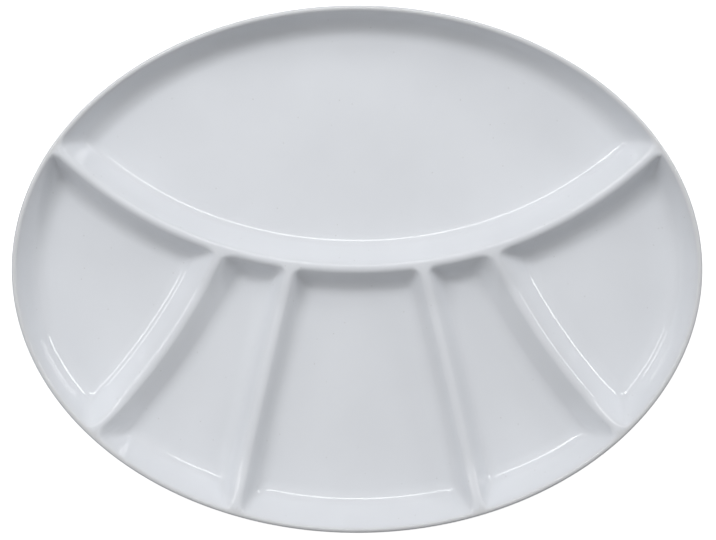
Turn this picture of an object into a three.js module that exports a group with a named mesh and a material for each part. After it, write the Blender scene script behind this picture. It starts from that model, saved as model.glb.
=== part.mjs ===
// Oval fondue plate in glazed stoneware: one large compartment above five small ones.
// Millimetres, +Z up, +Y towards the large compartment, +X to the right of the diner at -Y.
// The origin lies on the table, under the middle of the plate.
import * as THREE from "three";

// Finished size, glaze included
const PLATE_LENGTH = 275;
const PLATE_WIDTH = 210;
const PLATE_HEIGHT = 22;

// Clay of the rim and the compartment floors
const FLOOR_THICKNESS = 5.3;
const LIP_RADIUS = 0.4; // outer edge of the lip
const WALL_UPRIGHT = 7; // length of the outer wall's steep start under the lip
const WALL_SWEEP = 12; // length of its flat end above the foot

// Foot ring that the plate stands on, left bare of glaze
const FOOT_HEIGHT = 2.5;
const FOOT_INSET = 21; // from the clay's outer edge to the ring's outer face
const FOOT_WIDTH = 5;
const FOOT_FILLET = 1.5;
const FOOT_EDGE = 0.8; // chamfer of the standing face

// Glaze coat, and the clearance it keeps from the clay
const GLAZE_THICKNESS = 0.4;
const GLAZE_CLEARANCE = 0.3;

// Compartment walls, each run measured in plan from the crest to the floor
const RIM_RUN_END = 14; // at the left and right ends
const RIM_RUN_FAR = 12.5; // on the large compartment's side
const RIM_RUN_NEAR = 16.3; // on the diner's side
const CRESCENT_RUN_FAR = 14.3;
const CRESCENT_RUN_NEAR = 12;
const INNER_DIVIDER_RUN = 12.1;
const OUTER_DIVIDER_RUN = 14.4;

// Radii of a wall as high as the rim; a lower wall has the same section, flattened to its height
const RIM_CREST_RADIUS = 0.4;
const RIM_FILLET_RADIUS = 10.8;
const CREST_RADIUS = 1.9;
const FILLET_RADIUS = 7.8;

// Width over which two walls run into each other in a corner
const CORNER_AT_CREST = 7;
const CORNER_AT_FLOOR = 2;

// Crest heights, measured down from the lip
const CRESCENT_DROP = 3.5; // on the centre line
const CRESCENT_LOW = 80; // distance from the centre line over which the crescent lies low
const DIVIDER_DROP = 5.5;
const CREST_CLIMB = 20; // distance over which a low crest climbs to a higher one

// Crescent between the large compartment and the small ones. Its crest line is a parabola in plan,
// with a flare that grows with the fourth power.
const CRESCENT_OFFSET = 0.4; // its lowest point, beyond the middle of the plate
const CRESCENT_REACH = 100; // distance from the centre line at which its rise is measured
const CRESCENT_RISE = 25.7;
const CRESCENT_FLARE = 5.3;

// Dividers below the crescent: distance from the centre line at both ends, and the bow outwards
const INNER_DIVIDER_TOP = 26;
const INNER_DIVIDER_LIP = 48.8;
const INNER_DIVIDER_BOW = 0.6;
const OUTER_DIVIDER_TOP = 53.7;
const OUTER_DIVIDER_LIP = 105.8;
const OUTER_DIVIDER_BOW = -4.1;

// Hollows on the underside, which keep the clay even under the crescent and the dividers
const HOLLOW_DEPTH = 7;
const HOLLOW_RUN = 7; // in plan, from the deepest line to the flat underside
const HOLLOW_FADE = 18; // distance from the foot over which a hollow reaches its depth

// Facets
const LARGE_RIM_STEPS = 28;
const SMALL_RIM_STEPS = [12, 7, 8, 7, 12]; // one count for each small compartment, left to right
const CRESCENT_STEPS = [6, 4, 4, 4, 6];
const DIVIDER_STEPS = 8;
const CURVE_STEPS = 24; // pieces that a divider is measured against
const LIP_STEPS = 2;
const OUTER_WALL_STEPS = 4;
const FOOT_FILLET_STEPS = 2;
const SLOPE_STEP = 0.01; // spacing of the two points that a slope is measured between
const SEARCH_STEPS = 50;

// Sizes that follow
const COAT = GLAZE_CLEARANCE + GLAZE_THICKNESS;
const CLAY_LENGTH_HALF = PLATE_LENGTH / 2 - COAT;
const CLAY_WIDTH_HALF = PLATE_WIDTH / 2 - COAT;
const LIP_Z = PLATE_HEIGHT - COAT;
const FLOOR_Z = FOOT_HEIGHT + FLOOR_THICKNESS;
const DEPTH = LIP_Z - FLOOR_Z;
const FOOT_INNER = FOOT_INSET + FOOT_WIDTH;
const BARE_HEIGHT = FOOT_HEIGHT - FOOT_FILLET;

// An oval drawn this far inside the clay's outer edge
function ovalAt(inset) {
  return { a: CLAY_LENGTH_HALF - inset, b: CLAY_WIDTH_HALF - inset };
}

const LIP_OVAL = ovalAt(LIP_RADIUS);
const RECESS_OVAL = ovalAt(FOOT_INNER + FOOT_FILLET);

// Value between low and high at which a rising measure passes zero
function crossing(measure, low, high) {
  let below = low;
  let above = high;
  for (let step = 0; step < SEARCH_STEPS; step += 1) {
    const middle = (below + above) / 2;
    if (measure(middle) < 0) below = middle;
    else above = middle;
  }
  return (below + above) / 2;
}

// Lesser of two distances, rounded off where they are nearly equal, most of all at a crest
function blendedLeast(first, second) {
  const least = Math.min(first, second);
  const depth = THREE.MathUtils.clamp(least / CRESCENT_RUN_FAR, 0, 1);
  const width = THREE.MathUtils.lerp(CORNER_AT_CREST, CORNER_AT_FLOOR, depth);
  const overlap = Math.max(width - Math.abs(first - second), 0);
  return least - overlap ** 2 / (4 * width);
}

// Crest lines in plan

function crescentY(x) {
  const share = (x / CRESCENT_REACH) ** 2;
  return CRESCENT_OFFSET + CRESCENT_RISE * share + CRESCENT_FLARE * share ** 2;
}

function ovalReach(point, oval) {
  return Math.hypot(point.x / oval.a, point.y / oval.b);
}

// Right-hand divider, from the crescent's crest to the lip
function dividerCurve(topX, lipX, bow) {
  const top = new THREE.Vector2(topX, crescentY(topX));
  const lip = new THREE.Vector2(lipX, -LIP_OVAL.b * Math.sqrt(1 - (lipX / LIP_OVAL.a) ** 2));
  const along = lip.clone().sub(top).normalize();
  const outwards = new THREE.Vector2(-along.y, along.x);
  const handle = top.clone().lerp(lip, 0.5).addScaledVector(outwards, 2 * bow);
  return new THREE.QuadraticBezierCurve(top, handle, lip);
}

const INNER_DIVIDER = dividerCurve(INNER_DIVIDER_TOP, INNER_DIVIDER_LIP, INNER_DIVIDER_BOW);
const OUTER_DIVIDER = dividerCurve(OUTER_DIVIDER_TOP, OUTER_DIVIDER_LIP, OUTER_DIVIDER_BOW);

// Measures the distance to a divider; left and right mirror each other
function distanceTo(curve) {
  const points = curve.getPoints(CURVE_STEPS).map((point) => new THREE.Vector3(point.x, point.y, 0));
  const pieces = points.slice(1).map((end, index) => new THREE.Line3(points[index], end));
  const nearest = new THREE.Vector3();
  return (x, y) => {
    const place = new THREE.Vector3(Math.abs(x), y, 0);
    return Math.min(...pieces.map((piece) => {
      piece.closestPointToPoint(place, true, nearest);
      return nearest.distanceTo(place);
    }));
  };
}

const innerDividerDistance = distanceTo(INNER_DIVIDER);
const outerDividerDistance = distanceTo(OUTER_DIVIDER);

// Distance to the crescent's crest, positive on the large compartment's side
function crescentSide(x, y) {
  const share = x / CRESCENT_REACH;
  const slope = (2 * CRESCENT_RISE * share + 4 * CRESCENT_FLARE * share ** 3) / CRESCENT_REACH;
  return (y - crescentY(x)) / Math.hypot(1, slope);
}

// Distance to the nearest crest inside the lip, rounded off where two crests meet
function crestDistance(x, y) {
  const crescent = crescentSide(x, y);
  if (crescent > 0) return crescent;
  const around = blendedLeast(-crescent, innerDividerDistance(x, y));
  return blendedLeast(around, outerDividerDistance(x, y));
}

// Upper face

// Section of a compartment wall: a rounded crest, a straight slope and a fillet to the floor.
// Its level is 1 on the crest and 0 on the floor.
class WallSection {
  constructor(run, crestRadius, filletRadius) {
    const widest = (run ** 2 + DEPTH ** 2) / (2 * DEPTH) - crestRadius;
    this.run = run;
    this.crestRadius = crestRadius;
    this.filletRadius = Math.min(filletRadius, widest);
    this.slope = crossing((angle) => this.spareRun(angle), 0, Math.PI / 2);
    this.crestEnd = crestRadius * Math.sin(this.slope);
    this.crestDrop = crestRadius * (1 - Math.cos(this.slope));
    this.filletStart = run - this.filletRadius * Math.sin(this.slope);
    this.filletRise = this.filletRadius * (1 - Math.cos(this.slope));
  }

  // Run left over when the straight part stands at an angle
  spareRun(angle) {
    const radii = this.crestRadius + this.filletRadius;
    const straight = DEPTH - radii * (1 - Math.cos(angle));
    return this.run - radii * Math.sin(angle) - straight / Math.tan(angle);
  }

  levelAt(distance) {
    const reach = THREE.MathUtils.clamp(distance, 0, this.run);
    if (reach < this.crestEnd) {
      return 1 - (this.crestRadius - Math.sqrt(this.crestRadius ** 2 - reach ** 2)) / DEPTH;
    }
    if (reach > this.filletStart) {
      const left = this.run - reach;
      return (this.filletRadius - Math.sqrt(this.filletRadius ** 2 - left ** 2)) / DEPTH;
    }
    return 1 - (this.crestDrop + (reach - this.crestEnd) * Math.tan(this.slope)) / DEPTH;
  }

  distanceAt(level) {
    const drop = (1 - level) * DEPTH;
    const rise = level * DEPTH;
    if (drop < this.crestDrop) return Math.sqrt(drop * (2 * this.crestRadius - drop));
    if (rise < this.filletRise) return this.run - Math.sqrt(rise * (2 * this.filletRadius - rise));
    return this.crestEnd + (drop - this.crestDrop) / Math.tan(this.slope);
  }
}

const RIM_END_WALL = new WallSection(RIM_RUN_END, RIM_CREST_RADIUS, RIM_FILLET_RADIUS);
const RIM_FAR_WALL = new WallSection(RIM_RUN_FAR, RIM_CREST_RADIUS, RIM_FILLET_RADIUS);
const RIM_NEAR_WALL = new WallSection(RIM_RUN_NEAR, RIM_CREST_RADIUS, RIM_FILLET_RADIUS);
const CRESCENT_WALL = new WallSection(CRESCENT_RUN_FAR, CREST_RADIUS, FILLET_RADIUS);
const CRESCENT_NEAR_WALL = new WallSection(CRESCENT_RUN_NEAR, CREST_RADIUS, FILLET_RADIUS);
const INNER_WALL = new WallSection(INNER_DIVIDER_RUN, CREST_RADIUS, FILLET_RADIUS);
const OUTER_WALL = new WallSection(OUTER_DIVIDER_RUN, CREST_RADIUS, FILLET_RADIUS);

// Distance at which the crescent's far wall has the level that another wall has here
function matchedDistance(wall, distance) {
  if (distance > wall.run) return CRESCENT_RUN_FAR + distance - wall.run;
  return CRESCENT_WALL.distanceAt(wall.levelAt(distance));
}

// Share of the rim's run between the lip's crest and a place: 0 on the crest, 1 on the floor
function rimShare(x, y) {
  const runAcross = y > 0 ? RIM_RUN_FAR : RIM_RUN_NEAR;
  const floorOval = { a: LIP_OVAL.a - RIM_RUN_END, b: LIP_OVAL.b - runAcross };
  const lipReach = 1 / ovalReach({ x, y }, LIP_OVAL);
  const floorReach = 1 / ovalReach({ x, y }, floorOval);
  return (lipReach - 1) / (lipReach - floorReach);
}

// Matched distance from the rim, whose section changes from the ends to both long sides
function rimDistance(x, y) {
  const share = rimShare(x, y);
  const across = (y / LIP_OVAL.b / ovalReach({ x, y }, LIP_OVAL)) ** 2;
  const side = y > 0 ? RIM_FAR_WALL : RIM_NEAR_WALL;
  const [atEnd, atSide] = [RIM_END_WALL, side].map((wall) => matchedDistance(wall, share * wall.run));
  return THREE.MathUtils.lerp(atEnd, atSide, across);
}

// Matched distance from the nearest wall, walls running into each other in the corners
function wallDistance(x, y) {
  const side = crescentSide(x, y);
  if (side > 0) return blendedLeast(rimDistance(x, y), side);
  const crescent = matchedDistance(CRESCENT_NEAR_WALL, -side);
  const inner = matchedDistance(INNER_WALL, innerDividerDistance(x, y));
  const outer = matchedDistance(OUTER_WALL, outerDividerDistance(x, y));
  const around = blendedLeast(rimDistance(x, y), crescent);
  return blendedLeast(blendedLeast(around, inner), outer);
}

// Height of the crest that rules a place: the crescent climbs slowly towards its tips,
// and the dividers climb to the crescent and to the lip
function crestHeight(x, y) {
  const apart = (distance) => THREE.MathUtils.smoothstep(distance, 0, CREST_CLIMB);
  const crescent = CRESCENT_DROP * Math.exp(-((x / CRESCENT_LOW) ** 2));
  const lower = (DIVIDER_DROP - crescent) * apart(Math.abs(crescentSide(x, y)));
  return DEPTH - (crescent + lower) * apart(rimShare(x, y) * RIM_RUN_END);
}

function faceHeight(x, y) {
  return FLOOR_Z + crestHeight(x, y) * CRESCENT_WALL.levelAt(wallDistance(x, y));
}

// Distances from the crest at which the upper face has its rings of points
const FILLET_ANGLES = [2 / 3, 1 / 3].map((share) => CRESCENT_WALL.slope * share);
const FACE_RINGS = [
  CRESCENT_WALL.crestEnd / 2,
  CRESCENT_WALL.crestEnd,
  CRESCENT_WALL.filletStart,
  ...FILLET_ANGLES.map((angle) => CRESCENT_RUN_FAR - CRESCENT_WALL.filletRadius * Math.sin(angle)),
  CRESCENT_RUN_FAR,
];

// Underside inside the foot ring

function recessRoom(x, y) {
  return (1 / ovalReach({ x, y }, RECESS_OVAL) - 1) * Math.hypot(x, y);
}

function hollowDistance(x, y) {
  return Math.min(recessRoom(x, y), crestDistance(x, y));
}

function undersideHeight(x, y) {
  const across = THREE.MathUtils.clamp(crestDistance(x, y) / HOLLOW_RUN, 0, 1);
  const hollow = (HOLLOW_DEPTH * (1 + Math.cos(Math.PI * across))) / 2;
  return FOOT_HEIGHT + hollow * THREE.MathUtils.smoothstep(recessRoom(x, y), 0, HOLLOW_FADE);
}

const UNDERSIDE_RINGS = [HOLLOW_RUN / 2, HOLLOW_RUN];

// Compartment outlines in plan, counter-clockwise, with the points of their shared edges in common

function edge(steps, start, end, pointAt) {
  const inner = Array.from({ length: steps - 1 }, (_, index) => pointAt((index + 1) / steps));
  return [start, ...inner, end];
}

function mirrored(curve) {
  return (share) => {
    const point = curve(share);
    return new THREE.Vector2(-point.x, point.y);
  };
}

function compartmentOutlines(oval) {
  const onOval = (angle) => new THREE.Vector2(oval.a * Math.cos(angle), oval.b * Math.sin(angle));
  const onCrescent = (x) => new THREE.Vector2(x, crescentY(x));
  const angleOf = (point) => Math.atan2(point.y / oval.b, point.x / oval.a);
  const tipX = crossing((x) => ovalReach(onCrescent(x), oval) - 1, 0, oval.a);

  const cutDivider = (curve) => {
    const end = crossing((share) => ovalReach(curve.getPoint(share), oval) - 1, 0, 1);
    return (share) => curve.getPoint(share * end);
  };
  const inner = cutDivider(INNER_DIVIDER);
  const outer = cutDivider(OUTER_DIVIDER);
  const curves = [mirrored(outer), mirrored(inner), inner, outer];

  const leftTip = onCrescent(-tipX);
  const rightTip = onCrescent(tipX);
  const dividers = curves.map((curve) => edge(DIVIDER_STEPS, curve(0), curve(1), curve));
  const sides = [[leftTip], ...dividers, [rightTip]];

  const crescent = CRESCENT_STEPS.map((steps, index) => {
    const start = sides[index][0];
    const end = sides[index + 1][0];
    return edge(steps, start, end, (share) => onCrescent(THREE.MathUtils.lerp(start.x, end.x, share)));
  });

  const rimEdge = (steps, start, end) => {
    const from = angleOf(start);
    const turn = THREE.MathUtils.euclideanModulo(angleOf(end) - from, 2 * Math.PI);
    return edge(steps, start, end, (share) => onOval(from + turn * share));
  };
  const smallRims = SMALL_RIM_STEPS.map((steps, index) => (
    rimEdge(steps, sides[index].at(-1), sides[index + 1].at(-1))
  ));
  const largeRim = rimEdge(LARGE_RIM_STEPS, rightTip, leftTip);

  const joined = (edges) => edges.flatMap((points) => points.slice(0, -1));
  const small = smallRims.map((rim, index) => joined([
    sides[index],
    rim,
    sides[index + 1].toReversed(),
    crescent[index].toReversed(),
  ]));
  const large = joined([...crescent, largeRim]);
  return { outlines: [large, ...small], rim: joined([...smallRims, largeRim]) };
}

// Rings of points that step from an outline to the middle of its compartment
function steppedRings(outline, distance, ringDistances) {
  const middle = new THREE.Vector2();
  outline.forEach((point) => middle.addScaledVector(point, 1 / outline.length));
  const rings = ringDistances.map((wanted) => outline.map((point) => {
    const along = crossing((share) => {
      const place = point.clone().lerp(middle, share);
      return distance(place.x, place.y) - wanted;
    }, 0, 1);
    return point.clone().lerp(middle, along);
  }));
  return { rings: [outline, ...rings], middle };
}

const FACE_PLAN = compartmentOutlines(LIP_OVAL);
const FACE_STEPS = FACE_PLAN.outlines.map((outline) => steppedRings(outline, wallDistance, FACE_RINGS));
const RECESS_PLAN = compartmentOutlines(RECESS_OVAL);
const RECESS_STEPS = RECESS_PLAN.outlines.map((outline) => (
  steppedRings(outline, hollowDistance, UNDERSIDE_RINGS)
));

// A skin of triangles that share their corner points
class Skin {
  constructor() {
    this.corners = new Map();
    this.triangles = [];
  }

  add(...points) {
    points.forEach((point) => {
      if (!this.corners.has(point)) this.corners.set(point, this.corners.size);
      this.triangles.push(this.corners.get(point));
    });
  }

  // Band between two closed rings; it faces up where the first ring lies outside the second.
  // Its facets meet along the shorter diagonals of the plan.
  band(first, second, plan = [first, second]) {
    const [outer, inner] = plan;
    first.forEach((point, index) => {
      const next = (index + 1) % first.length;
      if (outer[index].distanceTo(inner[next]) < outer[next].distanceTo(inner[index])) {
        this.add(point, first[next], second[next]);
        this.add(point, second[next], second[index]);
      } else {
        this.add(point, first[next], second[index]);
        this.add(first[next], second[next], second[index]);
      }
    });
  }

  fan(ring, middle) {
    ring.forEach((point, index) => this.add(point, ring[(index + 1) % ring.length], middle));
  }

  // Takes in another skin, turned inside out where asked
  join(other, turned) {
    const points = [...other.corners.keys()];
    for (let index = 0; index < other.triangles.length; index += 3) {
      const corners = other.triangles.slice(index, index + 3).map((corner) => points[corner]);
      this.add(...(turned ? corners.toReversed() : corners));
    }
  }

  geometry() {
    const positions = [...this.corners.keys()].flatMap((point) => point.toArray());
    const geometry = new THREE.BufferGeometry();
    geometry.setAttribute("position", new THREE.Float32BufferAttribute(positions, 3));
    geometry.setIndex(this.triangles);
    geometry.computeVertexNormals();
    return geometry;
  }
}

// Compartments of the upper face or the underside, grown outwards by a coat
function compartmentSkin(plan, steps, height, facing, coat) {
  const lifted = new Map();
  const onRim = new Set(plan.rim);
  const slopeAt = (point, dx, dy) => {
    if (onRim.has(point)) return 0;
    const ahead = height(point.x + dx, point.y + dy);
    const behind = height(point.x - dx, point.y - dy);
    return (ahead - behind) / (2 * SLOPE_STEP);
  };
  const lift = (point) => {
    if (!lifted.has(point)) {
      const slopeX = slopeAt(point, SLOPE_STEP, 0);
      const slopeY = slopeAt(point, 0, SLOPE_STEP);
      const normal = new THREE.Vector3(-slopeX, -slopeY, 1).setLength(facing * coat);
      lifted.set(point, new THREE.Vector3(point.x, point.y, height(point.x, point.y)).add(normal));
    }
    return lifted.get(point);
  };

  const skin = new Skin();
  steps.forEach(({ rings, middle }) => {
    const raised = rings.map((ring) => ring.map(lift));
    raised.slice(1).forEach((ring, index) => {
      skin.band(raised[index], ring, [rings[index], rings[index + 1]]);
    });
    skin.fan(raised.at(-1), lift(middle));
  });
  return { skin, rim: plan.rim.map(lift) };
}

function faceSkin(coat) {
  return compartmentSkin(FACE_PLAN, FACE_STEPS, faceHeight, 1, coat);
}

function undersideSkin(coat) {
  const part = compartmentSkin(RECESS_PLAN, RECESS_STEPS, undersideHeight, -1, coat);
  const skin = new Skin();
  skin.join(part.skin, true);
  return { skin, rim: part.rim };
}

// Section of the outside, from the lip down to the foot ring and under it.
// Its points hold the inset from the clay's outer edge and the height.
function quarterArc(x, z, radius, from, to) {
  return new THREE.EllipseCurve(x, z, radius, radius, from, to, to < from);
}

const LIP_SECTION = quarterArc(LIP_RADIUS, LIP_Z - LIP_RADIUS, LIP_RADIUS, Math.PI / 2, Math.PI);
const WALL_SECTION = new THREE.CubicBezierCurve(
  new THREE.Vector2(0, LIP_Z - LIP_RADIUS),
  new THREE.Vector2(0, LIP_Z - LIP_RADIUS - WALL_UPRIGHT),
  new THREE.Vector2(FOOT_INSET - FOOT_FILLET - WALL_SWEEP, FOOT_HEIGHT),
  new THREE.Vector2(FOOT_INSET - FOOT_FILLET, FOOT_HEIGHT),
);
const OUTER_FILLET_SECTION = quarterArc(
  FOOT_INSET - FOOT_FILLET,
  BARE_HEIGHT,
  FOOT_FILLET,
  Math.PI / 2,
  0,
);
const INNER_FILLET_SECTION = quarterArc(
  FOOT_INNER + FOOT_FILLET,
  BARE_HEIGHT,
  FOOT_FILLET,
  Math.PI,
  Math.PI / 2,
);

// Points of a section curve, grown outwards by a coat, without its first one
function sectionPoints(curve, steps, coat) {
  return Array.from({ length: steps }, (_, index) => {
    const share = (index + 1) / steps;
    const along = curve.getTangent(share);
    return curve.getPoint(share).add(new THREE.Vector2(along.y, -along.x).multiplyScalar(coat));
  });
}

// Glazed stretch of the outside, below the lip's crest
function wallSection(coat) {
  return [
    ...sectionPoints(LIP_SECTION, LIP_STEPS, coat),
    ...sectionPoints(WALL_SECTION, OUTER_WALL_STEPS, coat),
    ...sectionPoints(OUTER_FILLET_SECTION, FOOT_FILLET_STEPS, coat),
  ];
}

const STANDING_SECTION = [
  new THREE.Vector2(FOOT_INSET + FOOT_EDGE, 0),
  new THREE.Vector2(FOOT_INNER - FOOT_EDGE, 0),
];

// Glazed stretch inside the foot ring, up to the edge of the underside
function recessSection(coat) {
  const start = INNER_FILLET_SECTION.getPoint(0).add(new THREE.Vector2(coat, 0));
  return [start, ...sectionPoints(INNER_FILLET_SECTION, FOOT_FILLET_STEPS, coat).slice(0, -1)];
}

// The outside's rings turn slightly on their way down, from the lip's points to the recess's points
const SECTION_LENGTH = wallSection(0).length + STANDING_SECTION.length + recessSection(0).length + 1;
const RIM_ANGLES = FACE_PLAN.rim.map((lipPoint, index) => {
  const recessPoint = RECESS_PLAN.rim[index];
  const start = Math.atan2(lipPoint.y / LIP_OVAL.b, lipPoint.x / LIP_OVAL.a);
  const end = Math.atan2(recessPoint.y / RECESS_OVAL.b, recessPoint.x / RECESS_OVAL.a);
  const turn = THREE.MathUtils.euclideanModulo(end - start + Math.PI, 2 * Math.PI) - Math.PI;
  return { start, turn };
});

function outsideRings(section, firstPlace) {
  return section.map((point, index) => {
    const share = (firstPlace + index) / SECTION_LENGTH;
    const oval = ovalAt(point.x);
    return RIM_ANGLES.map(({ start, turn }) => {
      const angle = start + turn * share;
      return new THREE.Vector3(oval.a * Math.cos(angle), oval.b * Math.sin(angle), point.y);
    });
  });
}

function bandsOutwards(skin, rings) {
  rings.slice(1).forEach((ring, index) => skin.band(ring, rings[index]));
}

const WALL_PLACE = 1;
const STANDING_PLACE = WALL_PLACE + wallSection(0).length;
const RECESS_PLACE = STANDING_PLACE + STANDING_SECTION.length;

// Clay body, cast in one: rim, crescent, dividers, floors and foot ring
function stonewareBody() {
  const face = faceSkin(0);
  const underside = undersideSkin(0);
  const skin = new Skin();
  skin.join(face.skin, false);
  bandsOutwards(skin, [
    face.rim,
    ...outsideRings(wallSection(0), WALL_PLACE),
    ...outsideRings(STANDING_SECTION, STANDING_PLACE),
    ...outsideRings(recessSection(0), RECESS_PLACE),
    underside.rim,
  ]);
  skin.join(underside.skin, false);
  return skin.geometry();
}

// Closes a coat between its inner and outer skin along the line where the glaze stops
function coatGeometry(layer) {
  const outer = layer(COAT);
  const inner = layer(GLAZE_CLEARANCE);
  const skin = new Skin();
  skin.join(outer.skin, false);
  skin.join(inner.skin, true);
  skin.band(...(outer.stopsBelow ? [inner.stop, outer.stop] : [outer.stop, inner.stop]));
  return skin.geometry();
}

// Glaze over the face, the lip and the outer wall, down to the foot ring
function outerGlaze() {
  return coatGeometry((coat) => {
    const face = faceSkin(coat);
    const rings = [face.rim, ...outsideRings(wallSection(coat), WALL_PLACE)];
    bandsOutwards(face.skin, rings);
    return { skin: face.skin, stop: rings.at(-1), stopsBelow: true };
  });
}

// Glaze on the underside, within the foot ring
function undersideGlaze() {
  return coatGeometry((coat) => {
    const underside = undersideSkin(coat);
    const rings = [...outsideRings(recessSection(coat), RECESS_PLACE), underside.rim];
    bandsOutwards(underside.skin, rings);
    return { skin: underside.skin, stop: rings[0], stopsBelow: false };
  });
}

// Fired clay and glossy white glaze
const biscuit = new THREE.MeshStandardMaterial({ color: 0xe3ddd0, roughness: 0.9, metalness: 0 });
const faceGlaze = new THREE.MeshStandardMaterial({ color: 0xe9ecef, roughness: 0.12, metalness: 0 });
const backGlaze = new THREE.MeshStandardMaterial({ color: 0xe6e9eb, roughness: 0.2, metalness: 0 });

function part(name, geometry, material) {
  const mesh = new THREE.Mesh(geometry, material);
  mesh.name = name;
  return mesh;
}

const plate = new THREE.Group();
plate.add(part("stoneware_body", stonewareBody(), biscuit));
plate.add(part("outer_glaze", outerGlaze(), faceGlaze));
plate.add(part("underside_glaze", undersideGlaze(), backGlaze));

export default plate;
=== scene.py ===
"""Looks of an oval fondue plate in white glazed stoneware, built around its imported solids.

Metres, +Z up, +Y towards the large compartment. The camera looks straight down on the plate.
"""

from math import cos, pi, radians, sin, tan

import bmesh
import bpy
import numpy as np
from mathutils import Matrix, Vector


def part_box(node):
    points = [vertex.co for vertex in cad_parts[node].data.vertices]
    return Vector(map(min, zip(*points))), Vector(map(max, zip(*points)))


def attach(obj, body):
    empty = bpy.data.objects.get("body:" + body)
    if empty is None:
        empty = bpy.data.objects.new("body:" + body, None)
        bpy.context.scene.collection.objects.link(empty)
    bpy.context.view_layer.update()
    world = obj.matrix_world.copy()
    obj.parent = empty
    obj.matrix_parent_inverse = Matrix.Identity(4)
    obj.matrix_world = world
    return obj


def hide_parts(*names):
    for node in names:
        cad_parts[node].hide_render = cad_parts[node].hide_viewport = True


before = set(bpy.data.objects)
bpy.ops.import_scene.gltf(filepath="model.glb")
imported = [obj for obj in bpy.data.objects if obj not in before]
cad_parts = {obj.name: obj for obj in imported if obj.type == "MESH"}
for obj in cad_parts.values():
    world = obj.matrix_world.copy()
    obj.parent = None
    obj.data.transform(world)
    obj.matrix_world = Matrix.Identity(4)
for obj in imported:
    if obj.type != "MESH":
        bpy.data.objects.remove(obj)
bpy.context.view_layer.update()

# Finished size, from the solids
GLAZE_LOW, GLAZE_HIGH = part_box("outer_glaze")
HALF_LENGTH = (GLAZE_HIGH.x - GLAZE_LOW.x) / 2
HALF_WIDTH = (GLAZE_HIGH.y - GLAZE_LOW.y) / 2
PLATE_TOP = GLAZE_HIGH.z

# Glaze coat, and the layer under it where glaze and clay have melted together
GLAZE_THICKNESS = 0.0004
MELTED_LAYER = 0.0003
COAT = GLAZE_THICKNESS + MELTED_LAYER

# Clay of the rim and the floors
FLOOR_THICKNESS = 0.0053
LIP_RADIUS = 0.0004  # outer edge of the lip
WALL_UPRIGHT = 0.007  # length of the outer wall's steep start under the lip
WALL_SWEEP = 0.012  # length of its flat end above the foot

# Foot ring, bare of glaze
FOOT_HEIGHT = 0.0025
FOOT_INSET = 0.021  # from the clay's outer edge to the ring's outer face
FOOT_WIDTH = 0.005
FOOT_FILLET = 0.0015
FOOT_EDGE = 0.0008  # chamfer of the standing face

# Compartment walls, each run measured in plan from the crest to the floor
RIM_RUN_END = 0.014
RIM_RUN_FAR = 0.0125
RIM_RUN_NEAR = 0.0163
CRESCENT_RUN_FAR = 0.0143
CRESCENT_RUN_NEAR = 0.012
INNER_DIVIDER_RUN = 0.0121
OUTER_DIVIDER_RUN = 0.0144

# Radii of a wall as high as the rim; a lower wall has the same section, flattened to its height
RIM_CREST_RADIUS = 0.0004
RIM_FILLET_RADIUS = 0.0108
CREST_RADIUS = 0.0019
FILLET_RADIUS = 0.0078

# Width over which two walls run into each other in a corner
CORNER_AT_CREST = 0.007
CORNER_AT_FLOOR = 0.002

# Crest heights, measured down from the lip
CRESCENT_DROP = 0.0035  # on the centre line
CRESCENT_LOW = 0.08  # distance from the centre line over which the crescent lies low
DIVIDER_DROP = 0.0055
CREST_CLIMB = 0.02  # distance over which a low crest climbs to a higher one

# Crescent's crest line in plan: a parabola, with a flare that grows with the fourth power
CRESCENT_OFFSET = 0.0004  # its lowest point, beyond the middle of the plate
CRESCENT_REACH = 0.1  # distance from the centre line at which its rise is measured
CRESCENT_RISE = 0.0257
CRESCENT_FLARE = 0.0053

# Dividers below it: distance from the centre line at both ends, and the bow outwards
INNER_DIVIDER_TOP = 0.026
INNER_DIVIDER_LIP = 0.0488
INNER_DIVIDER_BOW = 0.0006
OUTER_DIVIDER_TOP = 0.0537
OUTER_DIVIDER_LIP = 0.1058
OUTER_DIVIDER_BOW = -0.0041

# Hollows on the underside, below the crescent and the dividers
HOLLOW_DEPTH = 0.007
HOLLOW_RUN = 0.007
HOLLOW_FADE = 0.018

# Points along the edges and rings across the walls
LARGE_RIM_STEPS = 150
SMALL_RIM_STEPS = [56, 30, 48, 30, 56]
CRESCENT_STEPS = [36, 16, 30, 16, 36]
DIVIDER_STEPS = 48
CREST_RINGS = 5
SLOPE_RINGS = 3
FILLET_RINGS = 8
HOLLOW_RINGS = 8
LIP_STEPS = 6
OUTER_WALL_STEPS = 18
FOOT_FILLET_STEPS = 5
SEARCH_STEPS = 40
SLOPE_STEP = 0.00001  # spacing of the two points that a slope is measured between
MERGE_DISTANCE = 0.000005
SMOOTH_ANGLE = radians(40)

# Sizes that follow
LIP_Z = PLATE_TOP - COAT
FLOOR_Z = FOOT_HEIGHT + FLOOR_THICKNESS
DEPTH = LIP_Z - FLOOR_Z
BARE_HEIGHT = FOOT_HEIGHT - FOOT_FILLET
FOOT_INNER = FOOT_INSET + FOOT_WIDTH


# Crest lines in plan


def oval(inset):
    """Half axes of an oval drawn this far inside the clay's outer edge."""
    return np.array([HALF_LENGTH - COAT - inset, HALF_WIDTH - COAT - inset])


LIP_OVAL = oval(LIP_RADIUS)
RECESS_OVAL = oval(FOOT_INNER + FOOT_FILLET)


def reach(place, axes):
    """Distance from the middle, as a share of the oval's own reach in that direction."""
    return np.linalg.norm(place / axes, axis=-1)


def circle(angle):
    """Points of the unit circle."""
    return np.stack([np.cos(angle), np.sin(angle)], axis=-1)


def angle_on(place, axes):
    """Angle of a place on an oval, measured on the circle that the oval is stretched from."""
    return np.arctan2(place[..., 1] / axes[1], place[..., 0] / axes[0])


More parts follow.
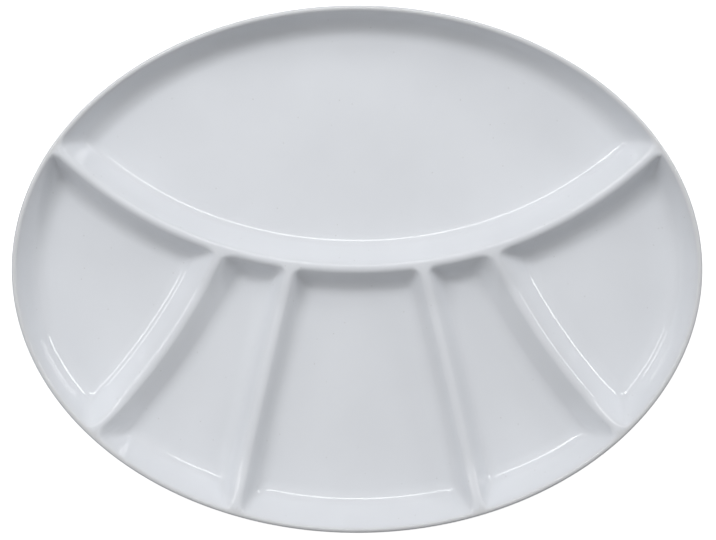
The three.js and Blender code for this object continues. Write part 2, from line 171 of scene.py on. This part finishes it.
def eased(distance, span):
    """Share of a span that a distance covers, from 0 to 1, with a soft start and end."""
    share = np.clip(distance / span, 0, 1)
    return share**2 * (3 - 2 * share)


def on_crescent(x):
    share = np.square(x / CRESCENT_REACH)
    y = CRESCENT_OFFSET + CRESCENT_RISE * share + CRESCENT_FLARE * share**2
    return np.stack([x, y], axis=-1)


def divider(top_x, lip_x, bow):
    """Control points of a right-hand divider's crest, from the crescent to the lip."""
    top = on_crescent(top_x)
    lip = np.array([lip_x, -LIP_OVAL[1] * np.sqrt(1 - (lip_x / LIP_OVAL[0]) ** 2)])
    along = (lip - top) / np.linalg.norm(lip - top)
    handle = (top + lip) / 2 + 2 * bow * np.array([-along[1], along[0]])
    return top, handle, lip


def on_divider(controls, share):
    top, handle, lip = controls
    share = np.asarray(share)[..., None]
    return (1 - share) ** 2 * top + 2 * share * (1 - share) * handle + share**2 * lip


INNER_DIVIDER = divider(INNER_DIVIDER_TOP, INNER_DIVIDER_LIP, INNER_DIVIDER_BOW)
OUTER_DIVIDER = divider(OUTER_DIVIDER_TOP, OUTER_DIVIDER_LIP, OUTER_DIVIDER_BOW)


def divider_distance(controls, place):
    """Distance in plan to a divider's crest; left and right mirror each other."""
    line = on_divider(controls, np.linspace(0, 1, DIVIDER_STEPS))
    steps = np.diff(line, axis=0)
    on_right = np.column_stack([abs(place[:, 0]), place[:, 1]])
    offset = on_right[:, None] - line[:-1]
    along = np.clip((offset * steps).sum(-1) / np.square(steps).sum(-1), 0, 1)
    return np.linalg.norm(offset - along[..., None] * steps, axis=-1).min(-1)


def crescent_side(place):
    """Distance to the crescent's crest, positive on the large compartment's side."""
    share = place[..., 0] / CRESCENT_REACH
    slope = (2 * CRESCENT_RISE * share + 4 * CRESCENT_FLARE * share**3) / CRESCENT_REACH
    return (place[..., 1] - on_crescent(place[..., 0])[..., 1]) / np.hypot(1, slope)


def blended_least(first, second):
    """Lesser of two distances, rounded off where they are nearly equal, most of all at a crest."""
    least = np.minimum(first, second)
    depth = np.clip(least / CRESCENT_RUN_FAR, 0, 1)
    width = CORNER_AT_CREST + (CORNER_AT_FLOOR - CORNER_AT_CREST) * depth
    overlap = np.maximum(width - abs(first - second), 0)
    return least - overlap**2 / (4 * width)


def crossing(measure, low, high):
    """Values between low and high at which a rising measure passes zero."""
    for _ in range(SEARCH_STEPS):
        middle = (low + high) / 2
        below = measure(middle) < 0
        low = np.where(below, middle, low)
        high = np.where(below, high, middle)
    return (low + high) / 2


# Upper face


class WallSection:
    """Section of a compartment wall: rounded crest, straight slope and fillet to the floor.

    Its level is 1 on the crest and 0 on the floor.
    """

    def __init__(self, run, crest_radius, fillet_radius):
        radii = crest_radius + fillet_radius

        def spare_run(angle):
            straight = DEPTH - radii * (1 - np.cos(angle))
            return run - radii * np.sin(angle) - straight / np.tan(angle)

        self.run = run
        self.crest_radius = crest_radius
        self.fillet_radius = fillet_radius
        self.slope = float(crossing(spare_run, 0, pi / 2))
        self.crest_end = crest_radius * sin(self.slope)
        self.crest_drop = crest_radius * (1 - cos(self.slope))
        self.fillet_start = run - fillet_radius * sin(self.slope)
        self.fillet_rise = fillet_radius * (1 - cos(self.slope))

    def level_at(self, distance):
        near = np.clip(distance, 0, self.run)
        left = self.run - near
        crest_z = np.sqrt(np.maximum(self.crest_radius**2 - near**2, 0))
        fillet_z = np.sqrt(np.maximum(self.fillet_radius**2 - left**2, 0))
        drop = self.crest_drop + (near - self.crest_end) * tan(self.slope)
        return np.select(
            [near < self.crest_end, near > self.fillet_start],
            [
                1 - (self.crest_radius - crest_z) / DEPTH,
                (self.fillet_radius - fillet_z) / DEPTH,
            ],
            1 - drop / DEPTH,
        )

    def distance_at(self, level):
        drop = (1 - level) * DEPTH
        rise = level * DEPTH
        crest = np.sqrt(np.maximum(drop * (2 * self.crest_radius - drop), 0))
        fillet = np.sqrt(np.maximum(rise * (2 * self.fillet_radius - rise), 0))
        return np.select(
            [drop < self.crest_drop, rise < self.fillet_rise],
            [crest, self.run - fillet],
            self.crest_end + (drop - self.crest_drop) / tan(self.slope),
        )


RIM_END_WALL, RIM_FAR_WALL, RIM_NEAR_WALL = (
    WallSection(run, RIM_CREST_RADIUS, RIM_FILLET_RADIUS)
    for run in (RIM_RUN_END, RIM_RUN_FAR, RIM_RUN_NEAR)
)
CRESCENT_WALL = WallSection(CRESCENT_RUN_FAR, CREST_RADIUS, FILLET_RADIUS)
CRESCENT_NEAR_WALL = WallSection(CRESCENT_RUN_NEAR, CREST_RADIUS, FILLET_RADIUS)
INNER_WALL = WallSection(INNER_DIVIDER_RUN, CREST_RADIUS, FILLET_RADIUS)
OUTER_WALL = WallSection(OUTER_DIVIDER_RUN, CREST_RADIUS, FILLET_RADIUS)


def matched_distance(wall, distance):
    """Distance at which the crescent's far wall has the level that another wall has here."""
    beyond = CRESCENT_RUN_FAR + distance - wall.run
    within = CRESCENT_WALL.distance_at(wall.level_at(distance))
    return np.where(distance > wall.run, beyond, within)


def rim_share(place):
    """Share of the rim's run that lies outside a place: 0 on the lip's crest, 1 on the floor."""
    run_across = np.where(place[:, 1] > 0, RIM_RUN_FAR, RIM_RUN_NEAR)
    run = np.stack([np.full_like(run_across, RIM_RUN_END), run_across], axis=-1)
    lip_reach = 1 / reach(place, LIP_OVAL)
    floor_reach = 1 / reach(place, LIP_OVAL - run)
    return (lip_reach - 1) / (lip_reach - floor_reach)


def rim_distance(place):
    """Matched distance from the rim, whose section changes from the ends to both long sides."""
    share = rim_share(place)
    across = np.square(place[:, 1] / LIP_OVAL[1] / reach(place, LIP_OVAL))
    end, far, near = (
        matched_distance(wall, share * wall.run)
        for wall in (RIM_END_WALL, RIM_FAR_WALL, RIM_NEAR_WALL)
    )
    return end + across * (np.where(place[:, 1] > 0, far, near) - end)


def wall_distance(place):
    """Matched distance from the nearest wall, walls running into each other in the corners."""
    side = crescent_side(place)
    crescent = np.where(side > 0, side, matched_distance(CRESCENT_NEAR_WALL, -side))
    inner = matched_distance(INNER_WALL, divider_distance(INNER_DIVIDER, place))
    outer = matched_distance(OUTER_WALL, divider_distance(OUTER_DIVIDER, place))
    around = blended_least(rim_distance(place), crescent)
    divided = blended_least(blended_least(around, inner), outer)
    return np.where(side > 0, around, divided)


def crest_height(place):
    """Height of the crest that rules a place, above the floor.

    The crescent climbs slowly towards its tips, the dividers to the crescent and to the lip.
    """
    crescent = CRESCENT_DROP * np.exp(-np.square(place[:, 0] / CRESCENT_LOW))
    lower = (DIVIDER_DROP - crescent) * eased(abs(crescent_side(place)), CREST_CLIMB)
    return DEPTH - (crescent + lower) * eased(rim_share(place) * RIM_RUN_END, CREST_CLIMB)


def face_height(place):
    return FLOOR_Z + crest_height(place) * CRESCENT_WALL.level_at(wall_distance(place))


FACE_RINGS = np.concatenate(
    [
        CREST_RADIUS * np.sin(np.linspace(0, CRESCENT_WALL.slope, CREST_RINGS + 1))[1:],
        np.linspace(CRESCENT_WALL.crest_end, CRESCENT_WALL.fillet_start, SLOPE_RINGS + 1)[1:],
        CRESCENT_RUN_FAR
        - FILLET_RADIUS * np.sin(np.linspace(CRESCENT_WALL.slope, 0, FILLET_RINGS + 1))[1:],
    ]
)


# Underside inside the foot ring


def recess_room(place):
    return (1 / reach(place, RECESS_OVAL) - 1) * np.linalg.norm(place, axis=-1)


def crest_distance(place):
    crescent = crescent_side(place)
    inner = divider_distance(INNER_DIVIDER, place)
    outer = divider_distance(OUTER_DIVIDER, place)
    below = blended_least(blended_least(-crescent, inner), outer)
    return np.where(crescent > 0, crescent, below)


def hollow_distance(place):
    return np.minimum(recess_room(place), crest_distance(place))


def underside_height(place):
    across = np.clip(crest_distance(place) / HOLLOW_RUN, 0, 1)
    hollow = HOLLOW_DEPTH * (1 + np.cos(pi * across)) / 2
    return FOOT_HEIGHT + hollow * eased(recess_room(place), HOLLOW_FADE)


HOLLOW_RING_DISTANCES = np.linspace(0, HOLLOW_RUN, HOLLOW_RINGS + 1)[1:]


# Outlines of the compartments


def compartment_outlines(axes):
    """Closed outlines in plan within an oval, counter-clockwise, and the points on the oval.

    The large compartment comes first, then the small ones from left to right.
    Neighbours have the points of their shared edge in common.
    """
    tip = crossing(lambda x: reach(on_crescent(x), axes) - 1, 0.0, axes[0])
    right = []
    for controls in (INNER_DIVIDER, OUTER_DIVIDER):
        end = crossing(lambda share: reach(on_divider(controls, share), axes) - 1, 0.0, 1.0)
        right.append(on_divider(controls, np.linspace(0, end, DIVIDER_STEPS + 1)))
    left = [line * [-1, 1] for line in reversed(right)]
    sides = [on_crescent(np.array([-tip])), *left, *right, on_crescent(np.array([tip]))]

    def rim_edge(steps, start, end):
        first, last = (angle_on(point, axes) for point in (start, end))
        return axes * circle(first + (last - first) % (2 * pi) * np.linspace(0, 1, steps + 1))

    ridges = []
    small_rims = []
    for steps, rim_steps, near, far in zip(CRESCENT_STEPS, SMALL_RIM_STEPS, sides, sides[1:]):
        ridges.append(on_crescent(np.linspace(near[0][0], far[0][0], steps + 1)))
        small_rims.append(rim_edge(rim_steps, near[-1], far[-1]))
    large_rim = rim_edge(LARGE_RIM_STEPS, sides[-1][0], sides[0][0])

    def joined(*edges):
        return np.concatenate([edge[:-1] for edge in edges])

    outlines = [joined(*ridges, large_rim)]
    for index, rim in enumerate(small_rims):
        near, far, ridge = sides[index], sides[index + 1], ridges[index]
        outlines.append(joined(near, rim, far[::-1], ridge[::-1]))
    return outlines, joined(*small_rims, large_rim)


def stepped_rings(outline, distance, ring_distances):
    """Rings that step from an outline to the middle of its compartment."""
    inwards = outline.mean(axis=0) - outline
    rings = [outline]
    for wanted in ring_distances:
        share = crossing(
            lambda share: distance(outline + share[:, None] * inwards) - wanted,
            np.zeros(len(outline)),
            np.ones(len(outline)),
        )
        rings.append(outline + share[:, None] * inwards)
    return rings


def lifted(place, height, axes, coat):
    """Points of a skin at a height over a plan, grown along its normal by a coat."""
    slope = [
        (height(place + step) - height(place - step)) / (2 * SLOPE_STEP)
        for step in SLOPE_STEP * np.eye(2)
    ]
    normal = np.stack([-slope[0], -slope[1], np.ones(len(place))], axis=-1)
    normal[np.isclose(reach(place, axes), 1)] = (0, 0, 1)
    normal /= np.linalg.norm(normal, axis=-1, keepdims=True)
    return np.column_stack([place, height(place)]) + coat * normal


FACE_OUTLINES, LIP_LINE = compartment_outlines(LIP_OVAL)
RECESS_OUTLINES, RECESS_LINE = compartment_outlines(RECESS_OVAL)
FACE_PLANS = [stepped_rings(line, wall_distance, FACE_RINGS) for line in FACE_OUTLINES]
RECESS_PLANS = [
    stepped_rings(line, hollow_distance, HOLLOW_RING_DISTANCES) for line in RECESS_OUTLINES
]


# Section of the outside, as insets from the clay's outer edge and heights


def arc_section(centre, radius, start, end, steps, coat):
    """Points of an arc that a coat makes larger, or smaller where the coat is negative."""
    return centre + (radius + coat) * circle(np.linspace(start, end, steps + 1))


def lip_section(coat):
    centre = np.array([LIP_RADIUS, LIP_Z - LIP_RADIUS])
    return arc_section(centre, LIP_RADIUS, pi / 2, pi, LIP_STEPS, coat)


def wall_section(coat):
    """Points of the outer wall's curve, each moved out by a coat along the curve's normal."""
    share = np.linspace(0, 1, OUTER_WALL_STEPS + 1)[:, None]
    left = 1 - share
    controls = np.array(
        [
            [0, LIP_Z - LIP_RADIUS],
            [0, LIP_Z - LIP_RADIUS - WALL_UPRIGHT],
            [FOOT_INSET - FOOT_FILLET - WALL_SWEEP, FOOT_HEIGHT],
            [FOOT_INSET - FOOT_FILLET, FOOT_HEIGHT],
        ]
    )
    control_weights = [left**3, 3 * share * left**2, 3 * share**2 * left, share**3]
    points = sum(weight * control for weight, control in zip(control_weights, controls))
    step_weights = [left**2, 2 * share * left, share**2]
    along = sum(weight * step for weight, step in zip(step_weights, np.diff(controls, axis=0)))
    along /= np.linalg.norm(along, axis=-1, keepdims=True)
    return points + coat * np.stack([along[:, 1], -along[:, 0]], axis=-1)


def foot_section(inset, start, end, coat):
    centre = np.array([inset, BARE_HEIGHT])
    return arc_section(centre, FOOT_FILLET, start, end, FOOT_FILLET_STEPS, -coat)


def outer_section(coat):
    """Glazed stretch of the outside, from below the lip's crest to the foot ring."""
    fillet = foot_section(FOOT_INSET - FOOT_FILLET, pi / 2, 0, coat)
    return np.concatenate([lip_section(coat)[1:], wall_section(coat)[1:], fillet[1:]])


def recess_section(coat):
    """Glazed stretch inside the foot ring, up to the edge of the underside."""
    return foot_section(FOOT_INNER + FOOT_FILLET, pi, pi / 2, coat)[:-1]


STANDING_SECTION = np.array([[FOOT_INSET + FOOT_EDGE, 0], [FOOT_INNER - FOOT_EDGE, 0]])


def outside_rings(section, start_line, start_axes, end_line, end_axes):
    """Rings along a section that turn evenly from one oval's points to another's."""
    first = angle_on(start_line, start_axes)
    last = angle_on(end_line, end_axes)
    turn = (last - first + pi) % (2 * pi) - pi
    rings = []
    for index, (inset, height) in enumerate(section):
        ring = oval(inset) * circle(first + turn * (index + 1) / (len(section) + 1))
        rings.append(np.column_stack([ring, np.full(len(ring), height)]))
    return rings


# Modelling


def lay_out(piece, points):
    """Moves the selected loop onto a closed line of points, in their order."""
    mesh = bmesh.from_edit_mesh(piece.data)
    loop = [vert for vert in mesh.verts if vert.select]
    for vert, point in zip(loop, points):
        vert.co = point
    bmesh.update_edit_mesh(piece.data)


def loft(piece, rings, filled):
    """Adds a circle to the piece, lays it on the first ring and extrudes it from ring to ring."""
    bpy.ops.mesh.primitive_circle_add(
        vertices=len(rings[0]), radius=HALF_WIDTH, fill_type="NOTHING"
    )
    lay_out(piece, rings[0])
    for ring in rings[1:]:
        bpy.ops.mesh.extrude_region_move()
        lay_out(piece, ring)
    if filled:
        bpy.ops.mesh.edge_face_add()


def modelled(name, lofts):
    """One mesh of lofts that share edges; a loft is its rings and whether its end is filled."""
    bpy.ops.object.select_all(action="DESELECT")
    bpy.ops.object.add(type="MESH")
    piece = bpy.context.object
    piece.name = name
    piece.data.name = name
    bpy.ops.object.mode_set(mode="EDIT")
    for rings, filled in lofts:
        loft(piece, rings, filled)
    bpy.ops.mesh.select_all(action="SELECT")
    bpy.ops.mesh.remove_doubles(threshold=MERGE_DISTANCE)
    bpy.ops.mesh.normals_make_consistent(inside=False)
    bpy.ops.object.mode_set(mode="OBJECT")
    return piece


def turn_outwards(piece, facing):
    """Turns an open skin over unless its widest face looks the way that facing says."""
    widest = max(piece.data.polygons, key=lambda face: face.area)
    if widest.normal.z * facing < 0:
        bpy.ops.object.mode_set(mode="EDIT")
        bpy.ops.mesh.select_all(action="SELECT")
        bpy.ops.mesh.flip_normals()
        bpy.ops.object.mode_set(mode="OBJECT")


def thicken(piece):
    """Gives a skin of glaze its thickness, inwards from the finished surface."""
    modifier = piece.modifiers.new("Thickness", "SOLIDIFY")
    modifier.thickness = GLAZE_THICKNESS
    modifier.offset = -1
    modifier.use_even_offset = True
    bpy.ops.object.modifier_apply(modifier=modifier.name)


def face_lofts(coat):
    return [
        ([lifted(ring, face_height, LIP_OVAL, coat) for ring in rings], True)
        for rings in FACE_PLANS
    ]


def underside_lofts(coat):
    return [
        ([lifted(ring, underside_height, RECESS_OVAL, -coat) for ring in rings], True)
        for rings in RECESS_PLANS
    ]


def lip_loop(coat):
    return np.column_stack([LIP_LINE, np.full(len(LIP_LINE), LIP_Z + coat)])


def recess_loop(coat):
    return np.column_stack([RECESS_LINE, np.full(len(RECESS_LINE), FOOT_HEIGHT - coat)])


def clay_body():
    section = np.concatenate([outer_section(0), STANDING_SECTION, recess_section(0)])
    outside = outside_rings(section, LIP_LINE, LIP_OVAL, RECESS_LINE, RECESS_OVAL)
    rings = [lip_loop(0), *outside, recess_loop(0)]
    return modelled("clay_body", [*face_lofts(0), *underside_lofts(0), (rings, False)])


def glazed_face():
    outside = outside_rings(outer_section(COAT), LIP_LINE, LIP_OVAL, LIP_LINE, LIP_OVAL)
    piece = modelled("glazed_face", [*face_lofts(COAT), ([lip_loop(COAT), *outside], False)])
    turn_outwards(piece, 1)
    thicken(piece)
    return piece


def glazed_underside():
    inside = outside_rings(recess_section(COAT), RECESS_LINE, RECESS_OVAL, RECESS_LINE, RECESS_OVAL)
    lofts = [*underside_lofts(COAT), ([*inside, recess_loop(COAT)], False)]
    piece = modelled("glazed_underside", lofts)
    turn_outwards(piece, -1)
    thicken(piece)
    return piece


pieces = {
    "stoneware_body": clay_body(),
    "outer_glaze": glazed_face(),
    "underside_glaze": glazed_underside(),
}
for node_name, piece in pieces.items():
    bpy.ops.object.select_all(action="DESELECT")
    piece.select_set(True)
    bpy.context.view_layer.objects.active = piece
    bpy.ops.object.shade_smooth_by_angle(angle=SMOOTH_ANGLE)
    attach(piece, "root")
    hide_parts(node_name)


# Materials

# Glaze
GLAZE_IOR = 1.52
POOL_SIZE = 0.035  # patches in which the glaze lies thicker or thinner
POOL_SPAN = (0.35, 0.65)  # stretch of the noise over which one turns into the other
SHEEN_SIZE = 0.02  # patches that shine more or less
SHEEN_SPAN = (0.3, 0.7)
FACE_SHEEN = (0.03, 0.055)  # roughness, from the glossiest patches to the dullest
UNDERSIDE_SHEEN = (0.12, 0.2)
WAVE_SIZE = 0.022  # slow waves of the melt
WAVE_HEIGHT = 0.00002
PEEL_SIZE = 0.0032  # orange peel
PEEL_HEIGHT = 0.000003
PINHOLE_GAP = 0.0055  # spacing in depth as well as along the surface, which few of them cut
PINHOLE_RADIUS = 0.00034
PINHOLE_SHARE = 0.3
# Greyer band on the lip's edge: partly thin glaze, partly a painted dark reflection of the room
LIP_EDGE_ATTRIBUTE = "lip_thin_glaze_and_painted_reflection"  # attribute of the points
LIP_EDGE_WIDTH = 0.0016  # on both sides of the lip's crest
LIP_EDGE_DROP = 0.003  # down from the lip's crest
LIP_EDGE_SHARE = 0.5

# Bare clay
SAND_SIZE = 0.0006
SAND_SPAN = (0.35, 0.7)
SAND_HEIGHT = 0.0001
SAND_STRENGTH = 0.6
CLAY_ROUGHNESS = 0.85
RUBBED_HEIGHT = 0.0004  # above the table, on the foot ring
RUBBED_SHARE = 0.6


def linear(hex_colour):
    """Linear RGBA of an sRGB hex colour."""
    parts = [int(hex_colour[start : start + 2], 16) / 255 for start in (1, 3, 5)]
    return (*(p / 12.92 if p <= 0.04045 else ((p + 0.055) / 1.055) ** 2.4 for p in parts), 1)


def add_node(material, kind, inputs=None, **settings):
    """Adds a node; an input is a value, or an output socket that is linked to it."""
    tree = material.node_tree
    node = tree.nodes.new(kind)
    for name, value in settings.items():
        setattr(node, name, value)
    for name, value in (inputs or {}).items():
        if isinstance(value, bpy.types.NodeSocket):
            tree.links.new(value, node.inputs[name])
        else:
            node.inputs[name].default_value = value
    return node


def new_material(name):
    material = bpy.data.materials.new(name)
    material.use_nodes = True
    material.node_tree.nodes.clear()
    return material


def glaze(name, roughness):
    """White stoneware glaze, dipped and fired; roughness runs from glossy patches to dull ones.

    A cool white that pools slightly greyer in patches, grey on the lip's edge where it has run thin
    and with a painted dark reflection there, with sparse pinholes and the faint waves and orange
    peel of melted glass.
    """
    material = new_material(name)
    place = add_node(material, "ShaderNodeTexCoord").outputs["Object"]

    pools = add_node(
        material, "ShaderNodeTexNoise", {"Vector": place, "Scale": 1 / POOL_SIZE, "Detail": 2.0}
    )
    patches = add_node(
        material,
        "ShaderNodeMapRange",
        {"Value": pools.outputs["Fac"], "From Min": POOL_SPAN[0], "From Max": POOL_SPAN[1]},
    )
    pooled = add_node(
        material,
        "ShaderNodeMixRGB",
        {
            "Fac": patches.outputs["Result"],
            "Color1": linear("#e6e9ee"),
            "Color2": linear("#e3e6eb"),
        },
    )
    cells = add_node(material, "ShaderNodeTexVoronoi", {"Vector": place, "Scale": 1 / PINHOLE_GAP})
    pinhole_edge = PINHOLE_RADIUS / PINHOLE_GAP
    pinholes = add_node(
        material,
        "ShaderNodeMapRange",
        {
            "Value": cells.outputs["Distance"],
            "From Min": pinhole_edge / 2,
            "From Max": pinhole_edge,
            "To Min": PINHOLE_SHARE,
            "To Max": 0.0,
        },
    )
    speckled = add_node(
        material,
        "ShaderNodeMixRGB",
        {
            "Fac": pinholes.outputs["Result"],
            "Color1": pooled.outputs["Color"],
            "Color2": linear("#a9a7a4"),
        },
    )
    lip_edge = add_node(material, "ShaderNodeAttribute", attribute_name=LIP_EDGE_ATTRIBUTE)
    colour = add_node(
        material,
        "ShaderNodeMixRGB",
        {
            "Fac": lip_edge.outputs["Fac"],
            "Color1": speckled.outputs["Color"],
            # grey of thin glaze on the lip's edge, darkened further as a painted dark reflection
            "Color2": linear("#cccbca"),
        },
    )

    swells = add_node(
        material, "ShaderNodeTexNoise", {"Vector": place, "Scale": 1 / WAVE_SIZE, "Detail": 0.0}
    )
    waves = add_node(
        material,
        "ShaderNodeBump",
        {"Height": swells.outputs["Fac"], "Strength": 1.0, "Distance": WAVE_HEIGHT},
    )
    dimples = add_node(
        material, "ShaderNodeTexNoise", {"Vector": place, "Scale": 1 / PEEL_SIZE, "Detail": 1.0}
    )
    peel = add_node(
        material,
        "ShaderNodeBump",
        {
            "Height": dimples.outputs["Fac"],
            "Strength": 1.0,
            "Distance": PEEL_HEIGHT,
            "Normal": waves.outputs["Normal"],
        },
    )
    gloss = add_node(
        material, "ShaderNodeTexNoise", {"Vector": place, "Scale": 1 / SHEEN_SIZE, "Detail": 2.0}
    )
    sheen = add_node(
        material,
        "ShaderNodeMapRange",
        {
            "Value": gloss.outputs["Fac"],
            "From Min": SHEEN_SPAN[0],
            "From Max": SHEEN_SPAN[1],
            "To Min": roughness[0],
            "To Max": roughness[1],
        },
    )
    shader = add_node(
        material,
        "ShaderNodeBsdfPrincipled",
        {
            "Base Color": colour.outputs["Color"],
            "Roughness": sheen.outputs["Result"],
            "IOR": GLAZE_IOR,
            "Normal": peel.outputs["Normal"],
        },
    )
    add_node(material, "ShaderNodeOutputMaterial", {"Surface": shader.outputs["BSDF"]})
    return material


def bare_biscuit():
    """Fired stoneware clay without glaze: warm off-white, matt, sandy, grey where it has rubbed.

    Its sand is about 0.3 mm in reality and is drawn twice as coarse, so that it shows.
    """
    material = new_material("bare_biscuit_clay")
    place = add_node(material, "ShaderNodeTexCoord").outputs["Object"]
    sand = add_node(
        material, "ShaderNodeTexNoise", {"Vector": place, "Scale": 1 / SAND_SIZE, "Detail": 3.0}
    )
    grains = add_node(
        material,
        "ShaderNodeMapRange",
        {"Value": sand.outputs["Fac"], "From Min": SAND_SPAN[0], "From Max": SAND_SPAN[1]},
    )
    clay = add_node(
        material,
        "ShaderNodeMixRGB",
        {
            "Fac": grains.outputs["Result"],
            "Color1": linear("#e2d9c9"),
            "Color2": linear("#cdc1ad"),
        },
    )
    axes = add_node(material, "ShaderNodeSeparateXYZ", {"Vector": place})
    rubbed = add_node(
        material,
        "ShaderNodeMapRange",
        {
            "Value": axes.outputs["Z"],
            "From Min": 0.0,
            "From Max": RUBBED_HEIGHT,
            "To Min": RUBBED_SHARE,
            "To Max": 0.0,
        },
    )
    colour = add_node(
        material,
        "ShaderNodeMixRGB",
        {
            "Fac": rubbed.outputs["Result"],
            "Color1": clay.outputs["Color"],
            "Color2": linear("#a8a49c"),
        },
    )
    grit = add_node(
        material,
        "ShaderNodeBump",
        {"Height": sand.outputs["Fac"], "Strength": SAND_STRENGTH, "Distance": SAND_HEIGHT},
    )
    shader = add_node(
        material,
        "ShaderNodeBsdfPrincipled",
        {
            "Base Color": colour.outputs["Color"],
            "Roughness": CLAY_ROUGHNESS,
            "Normal": grit.outputs["Normal"],
        },
    )
    add_node(material, "ShaderNodeOutputMaterial", {"Surface": shader.outputs["BSDF"]})
    return material


def mark_lip_edge(piece):
    """Stores on each point the share of grey on the lip's edge, and nowhere else: thin glaze, and a
    painted dark reflection.
    """
    points = np.array([vert.co for vert in piece.data.vertices])
    off_lip = abs(reach(points[:, :2], LIP_OVAL) - 1) * HALF_WIDTH
    drop = PLATE_TOP - points[:, 2]
    beside = np.clip(1 - off_lip / LIP_EDGE_WIDTH, 0, 1)
    below = np.clip(1 - drop / LIP_EDGE_DROP, 0, 1)
    lip_edge = piece.data.attributes.new(LIP_EDGE_ATTRIBUTE, "FLOAT", "POINT")
    lip_edge.data.foreach_set("value", LIP_EDGE_SHARE * beside * below)


# Greys the lip's edge: thin glaze and a painted dark reflection
mark_lip_edge(pieces["outer_glaze"])
FINISHES = {
    "stoneware_body": (bare_biscuit(), "biscuit"),
    "outer_glaze": (glaze("glossy_white_glaze", FACE_SHEEN), "face_glaze"),
    "underside_glaze": (glaze("dull_white_glaze", UNDERSIDE_SHEEN), "back_glaze"),
}
for node_name, (material, slot) in FINISHES.items():
    pieces[node_name].data.materials.append(material)


# Stage, light and camera

FLOOR_SIZE = 8.0
FLOOR_GLOW = 0.86  # the picture's overexposed paper; none of it falls on the plate
PAPER_ROUGHNESS = 0.9
FILL_LEVEL = 0.08  # light from all round the room

bpy.ops.mesh.primitive_plane_add(size=FLOOR_SIZE)
floor = bpy.context.object
floor.name = "floor"
white_paper = new_material("white_paper")
rays = add_node(white_paper, "ShaderNodeLightPath")
glow = add_node(
    white_paper,
    "ShaderNodeMapRange",
    {"Value": rays.outputs["Is Camera Ray"], "To Max": FLOOR_GLOW},
)
paper = add_node(
    white_paper,
    "ShaderNodeBsdfPrincipled",
    {
        "Base Color": linear("#d0d0d0"),
        "Roughness": PAPER_ROUGHNESS,
        "Emission Color": linear("#ffffff"),
        "Emission Strength": glow.outputs["Result"],
    },
)
add_node(white_paper, "ShaderNodeOutputMaterial", {"Surface": paper.outputs["BSDF"]})
floor.data.materials.append(white_paper)


def add_panel(name, azimuth, tilt, distance, size, power, turn=0, mirrored=True):
    """Adds a lamp panel that faces the plate.

    Its azimuth from +X, its tilt from overhead and its turn in plan are in degrees. A panel that
    isn't mirrored in the glaze stands for light from all over that side of the room.
    """
    azimuth, tilt, turn = radians(azimuth), radians(tilt), radians(turn)
    bpy.ops.object.light_add(
        type="AREA",
        location=(
            distance * sin(tilt) * cos(azimuth),
            distance * sin(tilt) * sin(azimuth),
            distance * cos(tilt),
        ),
        rotation=(tilt, 0, azimuth + pi / 2 + turn),
    )
    panel = bpy.context.object
    panel.name = name
    panel.visible_glossy = mirrored
    panel.data.shape = "RECTANGLE"
    panel.data.size, panel.data.size_y = size
    panel.data.energy = power


# Strips whose sharp highlights show in the glaze
add_panel("key_panel", azimuth=136, tilt=44, distance=1.1, size=(0.6, 0.1), power=1.15)
add_panel("key_tail", azimuth=98, tilt=38, distance=1.0, size=(0.7, 0.1), power=1.45, turn=-8)
add_panel("east_strip", azimuth=35, tilt=70, distance=1.6, size=(0.6, 0.25), power=3.7)
add_panel("west_strip", azimuth=150, tilt=70, distance=1.6, size=(0.4, 0.2), power=1.2)

# Soft light that shades the walls
add_panel(
    "north_wall", azimuth=90, tilt=38, distance=1.3, size=(2.6, 1.0), power=9.2, mirrored=False
)
add_panel(
    "west_wall", azimuth=195, tilt=58, distance=1.2, size=(0.9, 0.7), power=1.6, mirrored=False
)
add_panel("ceiling", azimuth=0, tilt=0, distance=1.3, size=(1.6, 1.0), power=4.8, mirrored=False)

world = bpy.data.worlds.new("soft_room")
bpy.context.scene.world = world
world.use_nodes = True
world.node_tree.nodes["Background"].inputs["Color"].default_value = linear("#ffffff")
world.node_tree.nodes["Background"].inputs["Strength"].default_value = FILL_LEVEL
bpy.context.scene.view_settings.view_transform = "Standard"

IMAGE_WIDTH = 716
PIXEL = 0.00039774  # on the level of the lip
CAMERA_HEIGHT = 1.5  # above the lip
CAMERA_X = 0.0004
CAMERA_Y = -0.00036
SENSOR = 36.0

bpy.ops.object.camera_add(location=(CAMERA_X, CAMERA_Y, PLATE_TOP + CAMERA_HEIGHT))
camera = bpy.context.object
camera.data.sensor_width = SENSOR
camera.data.lens = SENSOR * CAMERA_HEIGHT / (IMAGE_WIDTH * PIXEL)
bpy.context.scene.camera = camera
